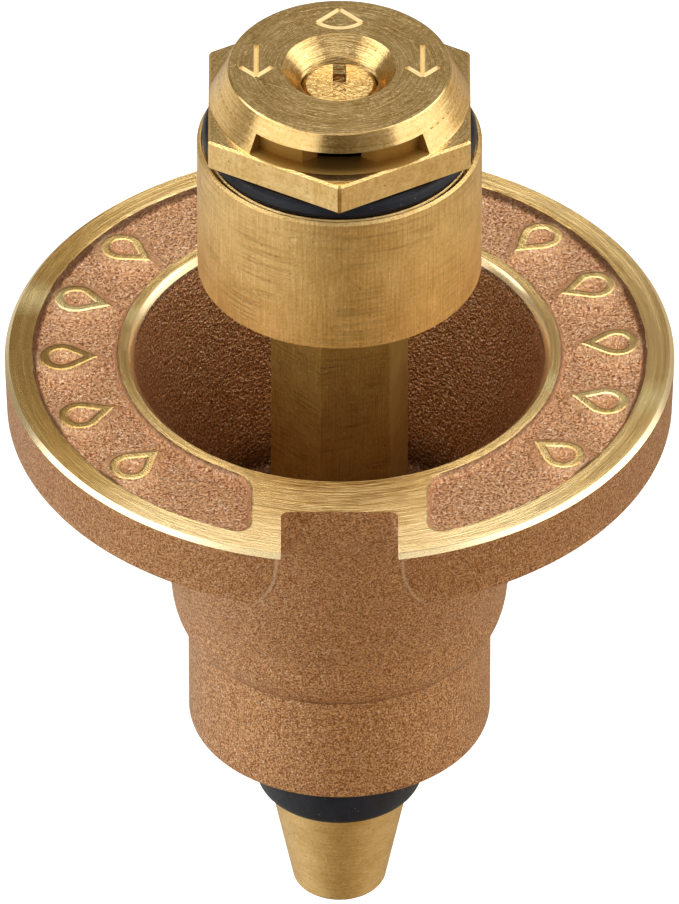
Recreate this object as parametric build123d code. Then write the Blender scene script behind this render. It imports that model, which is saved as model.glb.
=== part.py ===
from build123d import *
import math
import os

# A brass pop up sprinkler: a cast bronze body with a threaded inlet, and a riser that slides up
# through it and carries the spray nozzle. Millimetres. +Z is up, along the riser. The origin is the
# centre of the inlet's mouth, on the body's bottom face. The nozzle sprays towards -Y.

INCH = 25.4

# Body casting: flange, cup and inlet boss
FLANGE_TOP = 40.8
FLANGE_THICK = 6.2
FLANGE_R = 30.15
FLANGE_FOOT_R = 30.0
FLANGE_CHAMFER = 0.35
HOLE_R = 18.5
HOLE_CHAMFER = 0.4
OUTER_LAND_R = 27.7
INNER_LAND_R = 19.9
POCKET_DEPTH = 0.7
POCKET_END_X = 7.8
POCKET_CORNER_R = 1.6
NOTCH_W = 10.4
NOTCH_FACE = 23.4
NOTCH_CORNER_R = 0.7
NOTCH_DRAFT = 16
FLANGE_FILLET = 2.2
RIM_FILLET = 0.5
BOWL_TOP_R = 20.7
BOWL_LOW_R = 15.35
BOWL_LOW_Z = 15.8
SHOULDER_R = 14.85
SHOULDER_Z = 12.7
BOSS_R = 13.78
CREASE_Z = 11.2
CUP_FLOOR = 18.5
CUP_FLOOR_R = 13.4
CUP_LOW_R = 13.7
CUP_LOW_Z = 20.6
CUP_FILLET = 0.8
SOCKET_DEPTH = 13.8
SOCKET_R = 9.15
SOCKET_CHAMFER = 0.5
GUIDE_R = 8.6

# Raised drop marks in the flange's pockets
MARK_OUT_R = 26.9
MARK_IN_R = 21.8
MARK_HALF_W = 1.85
MARK_STROKE = 0.85
MARK_DRAFT = 12
MARKS_PER_SIDE = 5
MARK_PITCH = 20
MARK_MIDDLE = 3

# Riser: hexagonal stem, washer, ferrule and collar
STEM_AF = 7 / 16 * INCH
STEM_CORNER = 15
STEM_EDGE_R = 0.25
STEM_BORE_R = 3.6
SPIGOT_R = 3.95
SPIGOT_BORE_R = 2.9
SPIGOT_LENGTH = 6
RISER_UP = 18
RISER_DOWN = 32
COLLAR_GAP = 0.15
WASHER_R = 7.75
WASHER_THICK = 4.2
WASHER_EDGE_R = 0.5
FERRULE_LENGTH = 11.8
FERRULE_TOP_R = 6.5
FERRULE_LOW_R = 4.2
FERRULE_EDGE_R = 0.7
COLLAR_R = 12.72
COLLAR_LOW = CUP_FLOOR + RISER_DOWN + COLLAR_GAP
COLLAR_TOP = 64.8
COLLAR_FLOOR = 2.4
COLLAR_LIP_R = 12.38
COLLAR_CHAMFER = 0.25
COLLAR_RELIEF = 0.8
COLLAR_LIP_DRAFT = 0.12
GASKET_SEAT = 64.65
SEAT_R = 12.05
SEAT_GROOVE = 0.5
SEAT_CHAMFER = 0.15
SEAT_DRAFT = 0.05
GASKET_R = 12.28
GASKET_EDGE_R = 0.8
NECK_R = 4.9
SWAGE_R = 5.6
SWAGE_THICK = 0.8
WASHER_TOP = SOCKET_DEPTH - RISER_UP
WASHER_LOW = WASHER_TOP - WASHER_THICK

# Nozzle: hexagonal head, cone, spray slot and threaded shank
HEAD_LOW = 66.38
DECK = 69.4
NOZZLE_TOP = 72.7
HEAD_AF = 23.3
CONE_LOW_R = 11.6
CONE_TOP_R = 9.96
SHANK_R = 13 / 16 * INCH / 2
SHANK_LOW = 57.5
CHAMBER_R = 8.9
CEILING = 71.12
SLOT_BACK_R = 10.26
SLOT_HALF_ANGLE = 43.5
WINDOW_OUT_W = 9.4
WINDOW_IN_W = 3.9
SCREW_R = 3.4
SCREW_BOSS_R = 5.2
SCREW_BOSS_LOW = 64.5
COUNTERSINK_R = 5.05
HEAD_CHAMFER = 0.2
CONE_CHAMFER = 0.12
THREAD_PITCH = INCH / 40
THREAD_ROOT_R = 3.78
THREAD_ROUNDS = 4
ARROW_X = 7.4
ARROW_TIP_Y = -1.4
ARROW_LENGTH = 4.6
BARB_LENGTH = 2.0
SECTOR_Y = 8.6
SECTOR_R = 2.8
ENGRAVING = 0.22
STROKE = 0.5

# Adjusting screw and strainer
SCREW_TOP = 70.8
SCREW_LOW = 63.6
SCREW_TIP = 62.9
SCREW_TIP_R = 1.7
SCREW_CHAMFER = 0.4
SCREW_SLOT_W = 1.2
SCREW_SLOT_DEEP = 1.5
STRAINER_PLATE = 61.4
STRAINER_PLATE_THICK = 0.8
STRAINER_R = 6.2
STRAINER_WALL = 0.6
STRAINER_LOW = 55.2
PORT_R = 2.4
STRAINER_SLOTS = 12
STRAINER_SLOT_W = 1.1
STRAINER_BAND = 1.2

# Fits
RUNNING = 0.06
SEATING = 0.05


def turned(outline):
    """Revolve a closed outline of (radius, height) points about the Z axis."""
    return revolve(Plane.XZ * make_face(Polyline(*outline, close=True)), Axis.Z)


def pipe(outer_r, inner_r, low, high):
    """A plain ring between two heights."""
    return turned([(inner_r, low), (outer_r, low), (outer_r, high), (inner_r, high)])


def rod(radius, low, high):
    """A round bar on the Z axis between two heights."""
    return Pos(0, 0, low) * Cylinder(radius, high - low, align=(Align.CENTER, Align.CENTER, Align.MIN))


def hexagon(across_flats, low, high, corner_angle):
    """A hexagonal bar on the Z axis between two heights."""
    circumradius = across_flats / math.sqrt(3)
    outline = Rot(0, 0, corner_angle) * RegularPolygon(circumradius, 6)
    return Pos(0, 0, low) * extrude(outline, high - low)


def box_between(low, high):
    """A box from its lowest corner to its highest."""
    size = [b - a for a, b in zip(low, high)]
    return Pos(*low) * Box(*size, align=(Align.MIN, Align.MIN, Align.MIN))


def drop(circle_r, apex_distance):
    """A water drop on the XY plane: a circle at the origin, and a point towards -X."""
    angle = math.acos(circle_r / apex_distance)
    touch_x = -circle_r * math.cos(angle)
    touch_y = circle_r * math.sin(angle)
    tip = make_face(Polyline((-apex_distance, 0), (touch_x, -touch_y), (touch_x, touch_y), close=True))
    return Circle(circle_r) + tip


def drop_mark(angle):
    """One raised drop outline, its point towards the hole and its top level with the flange."""
    centre_r = MARK_OUT_R - MARK_HALF_W
    apex = centre_r - MARK_IN_R
    inner_r = MARK_HALF_W - MARK_STROKE
    inner = drop(inner_r, apex * inner_r / MARK_HALF_W)
    ring = drop(MARK_HALF_W, apex) - inner
    depth = POCKET_DEPTH + 0.1
    mark = extrude(ring, -depth, taper=-MARK_DRAFT)
    return Rot(0, 0, angle) * Pos(centre_r, 0, FLANGE_TOP) * mark


def pocket(side):
    """The recess in the flange's top on one side, +1 or -1, cut down from the top."""
    ring = Circle(OUTER_LAND_R) - Circle(INNER_LAND_R)
    width = FLANGE_R - POCKET_END_X
    window = Pos(side * (POCKET_END_X + width / 2), 0) * Rectangle(width, 2 * FLANGE_R)
    outline = ring & window
    outline = fillet(outline.vertices(), POCKET_CORNER_R)
    return Pos(0, 0, FLANGE_TOP - POCKET_DEPTH) * extrude(outline, POCKET_DEPTH + 1)


def notch(side):
    """A slot through the rim for a driver's lug, at the front (-1) or the back (+1)."""
    above = 1
    narrower = 2 * above * math.tan(math.radians(NOTCH_DRAFT))
    length = FLANGE_R - NOTCH_FACE + 2
    centre = side * (NOTCH_FACE + length / 2)
    outline = RectangleRounded(NOTCH_W - narrower, length - narrower, NOTCH_CORNER_R)
    depth = FLANGE_THICK + above
    return Pos(0, centre, FLANGE_TOP + above) * extrude(outline, -depth, taper=-NOTCH_DRAFT)


def body_outline():
    """The outside of the casting, as radius and height from the inlet's mouth to the flange's top."""
    flange_low = FLANGE_TOP - FLANGE_THICK
    rim_high = FLANGE_TOP - FLANGE_CHAMFER
    shoulder = ThreePointArc((BOSS_R, CREASE_Z), (SHOULDER_R, SHOULDER_Z), (BOWL_LOW_R, BOWL_LOW_Z))
    return [
        Line((0, 0), (BOSS_R, 0)),
        Line((BOSS_R, 0), (BOSS_R, CREASE_Z)),
        shoulder,
        Line((BOWL_LOW_R, BOWL_LOW_Z), (BOWL_TOP_R, flange_low)),
        Line((BOWL_TOP_R, flange_low), (FLANGE_FOOT_R, flange_low)),
        Line((FLANGE_FOOT_R, flange_low), (FLANGE_R, rim_high)),
        Line((FLANGE_R, rim_high), (FLANGE_R - FLANGE_CHAMFER, FLANGE_TOP)),
        Line((FLANGE_R - FLANGE_CHAMFER, FLANGE_TOP), (0, FLANGE_TOP)),
        Line((0, FLANGE_TOP), (0, 0)),
    ]


def edges_at(solid, radius, height):
    """The round edges of a solid that lie at one radius and height."""
    found = []
    for edge in solid.edges().filter_by(GeomType.CIRCLE):
        centred = math.hypot(edge.arc_center.X, edge.arc_center.Y) < 0.01
        if centred and abs(edge.radius - radius) < 0.01 and abs(edge.arc_center.Z - height) < 0.01:
            found.append(edge)
    return found


def body_casting():
    flange_low = FLANGE_TOP - FLANGE_THICK
    solid = revolve(Plane.XZ * make_face(body_outline()), Axis.Z)
    solid = fillet(edges_at(solid, BOWL_TOP_R, flange_low), FLANGE_FILLET)
    solid = fillet(edges_at(solid, FLANGE_FOOT_R, flange_low), RIM_FILLET)
    cup = turned([
        (0, CUP_FLOOR),
        (CUP_FLOOR_R, CUP_FLOOR),
        (CUP_LOW_R, CUP_LOW_Z),
        (HOLE_R, FLANGE_TOP - HOLE_CHAMFER),
        (HOLE_R + HOLE_CHAMFER, FLANGE_TOP),
        (HOLE_R + HOLE_CHAMFER, FLANGE_TOP + 1),
        (0, FLANGE_TOP + 1),
    ])
    cup = fillet(edges_at(cup, CUP_FLOOR_R, CUP_FLOOR), CUP_FILLET)
    solid -= cup
    solid -= turned([
        (0, -1),
        (SOCKET_R + SOCKET_CHAMFER, -1),
        (SOCKET_R + SOCKET_CHAMFER, 0),
        (SOCKET_R, SOCKET_CHAMFER),
        (SOCKET_R, SOCKET_DEPTH),
        (0, SOCKET_DEPTH),
    ])
    solid -= rod(GUIDE_R, SOCKET_DEPTH - 1, CUP_FLOOR + 1)
    for side in (-1, 1):
        solid -= notch(side)
        solid -= pocket(side)
    for side_middle in (MARK_MIDDLE, 180 + MARK_MIDDLE - 1):
        for step in range(MARKS_PER_SIDE):
            angle = side_middle + (step - (MARKS_PER_SIDE - 1) / 2) * MARK_PITCH
            solid += drop_mark(angle)
    return solid


def guide_bush():
    """The hexagonal guide in the cup's floor, which stops the stem from turning."""
    solid = pipe(GUIDE_R, 3, SOCKET_DEPTH, CUP_FLOOR)
    return solid - hexagon(STEM_AF + 2 * RUNNING, SOCKET_DEPTH - 1, CUP_FLOOR + 1, STEM_CORNER)


def riser_stem():
    """Hexagonal tube, with a spigot for the washer and ferrule, and a neck for the collar."""
    neck_top = COLLAR_LOW + COLLAR_FLOOR
    solid = hexagon(STEM_AF, WASHER_TOP, COLLAR_LOW, STEM_CORNER)
    solid = fillet(solid.edges().filter_by(Axis.Z), STEM_EDGE_R)
    solid += rod(SPIGOT_R, WASHER_LOW - SPIGOT_LENGTH, WASHER_TOP)
    solid += rod(NECK_R, COLLAR_LOW, neck_top)
    solid += rod(SWAGE_R, neck_top, neck_top + SWAGE_THICK)
    solid -= rod(STEM_BORE_R, WASHER_TOP, neck_top + 2)
    solid -= rod(SPIGOT_BORE_R, WASHER_LOW - SPIGOT_LENGTH - 1, WASHER_TOP + 1)
    return solid


def stem_washer():
    """The rubber washer that seats on the guide when the riser is fully up."""
    solid = pipe(WASHER_R, SPIGOT_R, WASHER_LOW, WASHER_TOP)
    rim = edges_at(solid, WASHER_R, WASHER_LOW) + edges_at(solid, WASHER_R, WASHER_TOP)
    return fillet(rim, WASHER_EDGE_R)


def inlet_ferrule():
    """The tapered brass end that holds the washer on the stem and lets the water in."""
    low = WASHER_LOW - FERRULE_LENGTH
    solid = turned([
        (0, WASHER_LOW),
        (FERRULE_TOP_R, WASHER_LOW),
        (FERRULE_LOW_R, low),
        (0, low),
    ])
    solid = fillet(edges_at(solid, FERRULE_LOW_R, low), FERRULE_EDGE_R)
    solid -= rod(SPIGOT_R, WASHER_LOW - SPIGOT_LENGTH, WASHER_LOW + 1)
    solid -= rod(SPIGOT_BORE_R, low - 1, WASHER_LOW)
    return solid


def nozzle_collar():
    """The cup on top of the stem that the nozzle screws into."""
    thread_r = SHANK_R + RUNNING
    floor = COLLAR_LOW + COLLAR_FLOOR
    groove_floor = GASKET_SEAT - SEAT_GROOVE
    return turned([
        (NECK_R, COLLAR_LOW),
        (COLLAR_R - COLLAR_CHAMFER, COLLAR_LOW),
        (COLLAR_R, COLLAR_LOW + COLLAR_CHAMFER),
        (COLLAR_R, COLLAR_TOP - COLLAR_CHAMFER),
        (COLLAR_R - COLLAR_CHAMFER, COLLAR_TOP),
        (COLLAR_LIP_R, COLLAR_TOP),
        (COLLAR_LIP_R - COLLAR_LIP_DRAFT, groove_floor),
        (SEAT_R + SEAT_DRAFT, groove_floor),
        (SEAT_R, GASKET_SEAT - SEAT_CHAMFER),
        (SEAT_R - SEAT_CHAMFER, GASKET_SEAT),
        (thread_r, GASKET_SEAT),
        (thread_r, SHANK_LOW - 1),
        (thread_r - COLLAR_RELIEF, SHANK_LOW - 1),
        (thread_r - COLLAR_RELIEF, floor),
        (NECK_R, floor),
    ])


def nozzle_gasket():
    """The rubber ring between the collar's rim and the nozzle's head."""
    inner_r = SHANK_R + RUNNING
    high = HEAD_LOW - SEATING
    solid = pipe(GASKET_R, inner_r, GASKET_SEAT, high)
    rim = edges_at(solid, GASKET_R, GASKET_SEAT) + edges_at(solid, GASKET_R, high)
    return fillet(rim, GASKET_EDGE_R)


def groove_section():
    """The section of an engraved groove, drawn across X with the engraved face at its origin."""
    half = STROKE / 2
    above = 1.0
    corners = [(-half, above), (half, above), (half, 0), (0, -ENGRAVING), (-half, 0)]
    return Plane.XZ * make_face(Polyline(*corners, close=True))


def stroke(length):
    """The tool for a straight engraved groove, from the origin along +Y."""
    return extrude(groove_section(), -length)


def arrow(side):
    """An arrow engraved in the nozzle's top, pointing the way that it sprays."""
    lines = stroke(ARROW_LENGTH)
    for turn in (-45, 45):
        lines += Rot(0, 0, turn) * stroke(BARB_LENGTH)
    return Pos(side * ARROW_X, ARROW_TIP_Y, NOZZLE_TOP) * lines


def quarter_mark():
    """A quarter sector engraved at the back of the nozzle's top, for its quarter circle of spray."""
    rim = revolve(Pos(SECTOR_R, 0) * groove_section(), Axis.Z, 90)
    lines = Rot(0, 0, 225) * rim
    for turn in (135, 225):
        lines += Rot(0, 0, turn) * stroke(SECTOR_R)
    return Pos(0, SECTOR_Y, NOZZLE_TOP) * lines


def spray_slot():
    """The arc cut in the cone, open to the front, with the window through its back wall."""
    ring = Circle(HEAD_AF) - Circle(SLOT_BACK_R)
    reach = 2 * HEAD_AF
    side = reach * math.tan(math.radians(SLOT_HALF_ANGLE))
    wedge = make_face(Polyline((0, 0), (side, -reach), (-side, -reach), close=True))
    slot = Pos(0, 0, DECK) * extrude(ring & wedge, CEILING - DECK)
    mouth = WINDOW_OUT_W / 2
    throat = WINDOW_IN_W / 2
    flare = make_face(Polyline(
        (-throat, -CHAMBER_R + 1.5),
        (throat, -CHAMBER_R + 1.5),
        (throat, -CHAMBER_R),
        (mouth, -SLOT_BACK_R - 0.3),
        (-mouth, -SLOT_BACK_R - 0.3),
        (-throat, -CHAMBER_R),
        close=True,
    ))
    return slot + Pos(0, 0, DECK) * extrude(flare, CEILING - DECK)


def thread_groove(height):
    """One round of the screw bore's thread, as a V groove."""
    bore_r = SCREW_R + RUNNING
    half = THREAD_PITCH * 0.45
    return turned([
        (bore_r - 0.1, height - half - 0.1),
        (THREAD_ROOT_R, height),
        (bore_r - 0.1, height + half + 0.1),
    ])


def spray_nozzle():
    bore_r = SCREW_R + RUNNING
    solid = hexagon(HEAD_AF, HEAD_LOW, DECK, 30)
    solid = chamfer(solid.edges(), HEAD_CHAMFER)
    solid += turned([
        (0, SHANK_LOW),
        (SHANK_R, SHANK_LOW),
        (SHANK_R, HEAD_LOW + 1),
        (CONE_LOW_R, HEAD_LOW + 1),
        (CONE_LOW_R, DECK),
        (CONE_TOP_R, NOZZLE_TOP - CONE_CHAMFER),
        (CONE_TOP_R - CONE_CHAMFER, NOZZLE_TOP),
        (0, NOZZLE_TOP),
    ])
    solid -= rod(CHAMBER_R, SHANK_LOW - 1, CEILING)
    solid += rod(SCREW_BOSS_R, SCREW_BOSS_LOW, CEILING)
    solid -= rod(bore_r, SCREW_BOSS_LOW - 1, NOZZLE_TOP + 1)
    solid -= turned([
        (0, NOZZLE_TOP + 1),
        (COUNTERSINK_R + 1, NOZZLE_TOP + 1),
        (bore_r, NOZZLE_TOP - COUNTERSINK_R + bore_r),
        (0, NOZZLE_TOP - COUNTERSINK_R + bore_r),
    ])
    for step in range(THREAD_ROUNDS):
        solid -= thread_groove(NOZZLE_TOP - COUNTERSINK_R + bore_r + (0.6 - step) * THREAD_PITCH)
    solid -= spray_slot()
    for side in (-1, 1):
        solid -= arrow(side)
    return solid - quarter_mark()


def adjusting_screw():
    """The slotted screw that throttles the nozzle."""
    solid = turned([
        (0, SCREW_TIP),
        (SCREW_TIP_R, SCREW_TIP),
        (SCREW_R, SCREW_LOW),
        (SCREW_R, SCREW_TOP - SCREW_CHAMFER),
        (SCREW_R - SCREW_CHAMFER, SCREW_TOP),
        (0, SCREW_TOP),
    ])
    half_w = SCREW_SLOT_W / 2
    slot_floor = SCREW_TOP - SCREW_SLOT_DEEP
    return solid - box_between((-half_w, -5, slot_floor), (half_w, 5, SCREW_TOP + 1))


def strainer_basket():
    """The slotted basket pressed into the nozzle's shank, with the port that the screw closes."""
    plate_top = STRAINER_PLATE + STRAINER_PLATE_THICK
    solid = rod(CHAMBER_R, STRAINER_PLATE, plate_top)
    solid += rod(STRAINER_R, STRAINER_LOW, STRAINER_PLATE)
    solid -= rod(STRAINER_R - STRAINER_WALL, STRAINER_LOW + STRAINER_WALL, STRAINER_PLATE)
    solid -= rod(PORT_R, STRAINER_PLATE - 1, plate_top + 1)
    half_w = STRAINER_SLOT_W / 2
    low = STRAINER_LOW + STRAINER_BAND
    high = STRAINER_PLATE - STRAINER_BAND
    slot = box_between((STRAINER_R - 2, -half_w, low), (STRAINER_R + 2, half_w, high))
    for index in range(STRAINER_SLOTS):
        solid -= Rot(0, 0, index * 360 / STRAINER_SLOTS) * slot
    return solid


PIECES = {
    "body_casting": body_casting,
    "guide_bush": guide_bush,
    "riser_stem": riser_stem,
    "stem_washer": stem_washer,
    "inlet_ferrule": inlet_ferrule,
    "nozzle_collar": nozzle_collar,
    "nozzle_gasket": nozzle_gasket,
    "spray_nozzle": spray_nozzle,
    "adjusting_screw": adjusting_screw,
    "strainer_basket": strainer_basket,
}

os.makedirs("parts", exist_ok=True)
for name, make in PIECES.items():
    export_step(make(), f"parts/{name}.step")
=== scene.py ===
"""Looks of a brass pop up sprinkler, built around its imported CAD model."""
import math

import bpy
import numpy as np
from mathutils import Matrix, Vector


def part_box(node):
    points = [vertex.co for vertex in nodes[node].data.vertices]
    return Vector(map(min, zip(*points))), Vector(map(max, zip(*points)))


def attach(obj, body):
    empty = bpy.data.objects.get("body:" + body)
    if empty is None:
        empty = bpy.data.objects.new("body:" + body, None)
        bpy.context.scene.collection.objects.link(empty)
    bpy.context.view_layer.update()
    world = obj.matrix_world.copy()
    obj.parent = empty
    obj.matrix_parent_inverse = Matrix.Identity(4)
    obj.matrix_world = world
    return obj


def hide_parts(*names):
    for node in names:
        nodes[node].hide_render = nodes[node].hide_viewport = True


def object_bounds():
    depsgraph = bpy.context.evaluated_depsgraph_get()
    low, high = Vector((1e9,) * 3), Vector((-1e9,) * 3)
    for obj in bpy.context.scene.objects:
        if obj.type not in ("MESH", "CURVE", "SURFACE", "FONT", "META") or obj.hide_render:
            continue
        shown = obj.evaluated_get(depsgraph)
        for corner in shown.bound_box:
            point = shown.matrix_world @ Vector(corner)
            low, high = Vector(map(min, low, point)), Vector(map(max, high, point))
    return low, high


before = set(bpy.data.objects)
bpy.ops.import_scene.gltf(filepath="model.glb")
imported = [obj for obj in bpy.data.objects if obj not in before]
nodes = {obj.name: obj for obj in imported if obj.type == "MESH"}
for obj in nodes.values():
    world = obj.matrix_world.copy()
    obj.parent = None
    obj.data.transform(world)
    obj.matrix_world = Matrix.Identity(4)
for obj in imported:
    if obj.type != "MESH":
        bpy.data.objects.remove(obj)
cad_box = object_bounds()

MM = 0.001
INCH = 25.4

# Body casting, in millimetres. Its outer sizes are read from its CAD node.
body_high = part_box("body_casting")[1]
FLANGE_R = body_high[0] / MM
FLANGE_TOP = body_high[2] / MM
FLANGE_THICK = 6.2
FLANGE_LOW = FLANGE_TOP - FLANGE_THICK
FLANGE_FOOT_R = 30.0
RIM_CHAMFER = 0.42
RIM_FILLET = 0.5
HOLE_R = 18.5
HOLE_CHAMFER = 0.55
OUTER_LAND_R = 27.7
INNER_LAND_R = 19.9
BOWL_TOP_R = 20.7
BOWL_FILLET = 2.2
BOWL_LOW_R = 15.35
BOWL_LOW_Z = 15.8
BOSS_R = 13.78
BOSS_EDGE_R = 0.25
CREASE_Z = 11.2
CUP_FLOOR = 18.5
CUP_FLOOR_R = 13.4
CUP_LOW_R = 13.7
CUP_LOW_Z = 20.6
CUP_FILLET = 0.8
GUIDE_R = 8.6
SOCKET_R = 9.15
SOCKET_TOP = 13.8
SOCKET_CHAMFER = 0.5
SOCKET_LAND = 0.6

# Cast pockets in the flange's top
POCKET_DEPTH = 0.7
POCKET_WALL = 0.55
POCKET_END_X = 7.8
POCKET_CORNER_R = 1.8
POCKET_EDGE = 0.05

# Lumps of the cast skin, each as height, size and seed
EDGE_LUMPS = ((0.05, 1.1, 3), (0.03, 0.35, 4))
FLOOR_LUMPS = ((0.025, 0.34, 1), (0.02, 0.2, 2))
LUMPY_DEPTHS = (0.1, 0.5)

# Driver's notches in the rim. Going down, their sides lean apart, straight at first and then in a curve,
# and their inner face leans towards the axis.
NOTCH_W = 10.4
NOTCH_FACE = 23.4
NOTCH_CORNER_R = 0.7
NOTCH_LIP_R = 0.7
NOTCH_LIP_OUT = 0.2
NOTCH_DRAFT = 0.07
NOTCH_STRAIGHT = 2.0
NOTCH_SPREAD = 1.7
FACE_LEAN = 0.14
FACE_CURVE = 0.023
CORNER_GROWTH = 0.5
CUTTER_ABOVE = 1.0
CUTTER_BELOW = 7.4
CUTTER_REACH = 3

# The inlet's pipe thread: its shape, how far it takes to start and to fade out, and how far below the
# socket's top it ends
PIPE_PITCH = INCH / 14
PIPE_THREAD_DEPTH = 1.1
PIPE_THREAD_SLOPE = 2.4
PIPE_THREAD_CREST = 0.1
THREAD_LEAD_IN = 0.6
THREAD_RUN_OUT = 0.8
THREAD_END_GAP = 1

# Raised drop marks
MARK_OUT_R = 26.9
MARK_IN_R = 21.8
MARK_HALF_W = 1.85
MARK_STROKE = 0.7
MARK_SKIRT = 1.05
MARK_PITCH = 20
MARKS_PER_SIDE = 5
MARK_MIDDLES = (3, 182)

# Rubber rings
RUBBER_BORES = {"nozzle_gasket": 10.4, "stem_washer": 3.96}
PARTING_HEIGHT = 0.06
PARTING_WIDTH = 0.12
RUBBER_BEVEL = 0.05

# How fine the meshes are: points to a ring, the step or the number of rows, and what counts as a sharp edge
FINE_COLUMNS = 1080
COLUMNS = 360
RUBBER_COLUMNS = 256
ROW = 0.14
THREAD_ROWS = 9
CUTTER_ROWS = 34
SHARP_ANGLE = math.radians(30)
CAST_SHARP_ANGLE = math.radians(35)


# ---------------------------------------------------------------- meshes

def ring(radius, height, columns):
    """Points round the Z axis. Radius and height are numbers, or one value for each point."""
    angle = np.arange(columns) * 2 * math.pi / columns
    radius = np.broadcast_to(radius, angle.shape)
    height = np.broadcast_to(height, angle.shape)
    return np.stack([radius * np.cos(angle), radius * np.sin(angle), height], axis=1)


def stitched(rings, closed):
    """Points and faces through a row of rings. A ring may have a multiple of its neighbour's points."""
    starts = np.cumsum([0] + [len(points) for points in rings])
    faces = []
    last = len(rings) if closed else len(rings) - 1
    for i in range(last):
        j = (i + 1) % len(rings)
        here, there = len(rings[i]), len(rings[j])
        coarse = min(here, there)
        for k in range(coarse):
            side_a = [starts[i] + n % here for n in corner_run(k, here // coarse)]
            side_b = [starts[j] + n % there for n in corner_run(k, there // coarse)]
            faces.append([int(n) for n in side_a[::-1] + side_b])
    return np.vstack(rings) * MM, faces


def corner_run(k, step):
    """The point numbers along one cell of a ring that has step points to a cell."""
    return list(range(k * step, k * step + step + 1))


def make_object(name, points, faces, material):
    """A smooth-shaded object made of these points and faces."""
    mesh = bpy.data.meshes.new(name)
    mesh.from_pydata(points.tolist(), [], faces)
    mesh.validate()
    mesh.shade_smooth()
    mesh.set_sharp_from_angle(angle=SHARP_ANGLE)
    mesh.materials.append(material)
    piece = bpy.data.objects.new(name, mesh)
    bpy.context.scene.collection.objects.link(piece)
    return piece


def arc(centre, radius, start, end, count):
    """A row of points along an arc, from its start to its end angle in degrees."""
    angles = np.radians(np.linspace(start, end, count))
    return [(centre[0] + radius * math.cos(a), centre[1] + radius * math.sin(a)) for a in angles]


def line(start, end, count):
    """A row of points along a straight line, from its start to just before its end."""
    share = np.arange(count) / count
    return [(start[0] + s * (end[0] - start[0]), start[1] + s * (end[1] - start[1])) for s in share]


def smooth(value, low, high):
    """0 below low, 1 above high, and an S between them."""
    share = np.clip((value - low) / (high - low), 0, 1)
    return share * share * (3 - 2 * share)


# Large odd numbers that scramble a lattice corner's place into a random value
SCRAMBLE = (73856093, 19349663, 83492791)
SCRAMBLE_SEED = 2654435761
SCRAMBLE_AGAIN = 1103515245
SCRAMBLE_SHIFT = 12345
LOW_24_BITS = 0xFFFFFF
LOW_16_BITS = 0xFFFF
ONE_BYTE = 8


def corner_value(corner, seed):
    """A fixed random number from -1 to 1 for each lattice corner."""
    mixed = corner[:, 0] * SCRAMBLE[0] ^ corner[:, 1] * SCRAMBLE[1] ^ corner[:, 2] * SCRAMBLE[2]
    mixed = (mixed + seed * SCRAMBLE_SEED) & LOW_24_BITS
    mixed = (mixed * SCRAMBLE_AGAIN + SCRAMBLE_SHIFT) & LOW_24_BITS
    return (mixed >> ONE_BYTE & LOW_16_BITS) / (LOW_16_BITS / 2) - 1


def grain(points, size, seed):
    """Smooth lattice noise from -1 to 1 at each point, with cells of the given size."""
    cell = points / size
    base = np.floor(cell).astype(np.int64)
    part = smooth(cell - base, 0, 1)
    total = 0
    for dx in (0, 1):
        for dy in (0, 1):
            for dz in (0, 1):
                value = corner_value(base + [dx, dy, dz], seed)
                weight = np.abs(1 - dx - part[:, 0]) * np.abs(1 - dy - part[:, 1])
                total = total + value * weight * np.abs(1 - dz - part[:, 2])
    return total


def lumps(points, layers):
    """Layers of noise added up, each given as height, size and seed."""
    return sum(height * grain(points, size, seed) for height, size, seed in layers)


# ---------------------------------------------------------------- body casting

def drop_distance(along, across):
    """Signed distance to a water drop: a circle at the origin with a point towards -along."""
    across = np.abs(across)
    apex = MARK_OUT_R - MARK_HALF_W - MARK_IN_R
    tilt = math.acos(MARK_HALF_W / apex)
    cos_t, sin_t = math.cos(tilt), math.sin(tilt)
    to_line = -along * cos_t + across * sin_t - MARK_HALF_W
    run = -along * sin_t - across * cos_t
    length = math.sqrt(apex * apex - MARK_HALF_W * MARK_HALF_W)
    to_circle = np.hypot(along, across) - MARK_HALF_W
    to_apex = np.hypot(along + apex, across)
    return np.where(run < 0, to_circle, np.where(run > length, to_apex, to_line))


def mark_height(points):
    """1 on the raised marks' tops, falling to 0 at the foot of their skirts."""
    height = np.zeros(len(points))
    centre_r = MARK_OUT_R - MARK_HALF_W
    for middle in MARK_MIDDLES:
        for step in range(MARKS_PER_SIDE):
            angle = math.radians(middle + (step - (MARKS_PER_SIDE - 1) / 2) * MARK_PITCH)
            along = points[:, 0] * math.cos(angle) + points[:, 1] * math.sin(angle) - centre_r
            across = points[:, 1] * math.cos(angle) - points[:, 0] * math.sin(angle)
            from_stroke = np.abs(drop_distance(along, across) + MARK_STROKE / 2) - MARK_STROKE / 2
            height = np.maximum(height, 1 - np.clip(from_stroke / MARK_SKIRT, 0, 1))
    return height


def flange_points(radius):
    """One ring of the flange's top, sunk where the cast pockets are."""
    points = ring(radius, FLANGE_TOP, FINE_COLUMNS)
    edge = min(radius - INNER_LAND_R, OUTER_LAND_R - radius)
    end = np.abs(points[:, 0]) - POCKET_END_X
    short_edge = max(POCKET_CORNER_R - edge, 0)
    short_end = np.maximum(POCKET_CORNER_R - end, 0)
    inside = POCKET_CORNER_R - np.hypot(short_edge, short_end) + lumps(points, EDGE_LUMPS)
    depth = smooth(inside, -POCKET_EDGE, POCKET_WALL) * (1 - mark_height(points))
    points[:, 2] -= POCKET_DEPTH * depth + lumps(points, FLOOR_LUMPS) * smooth(depth, *LUMPY_DEPTHS)
    return points


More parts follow.
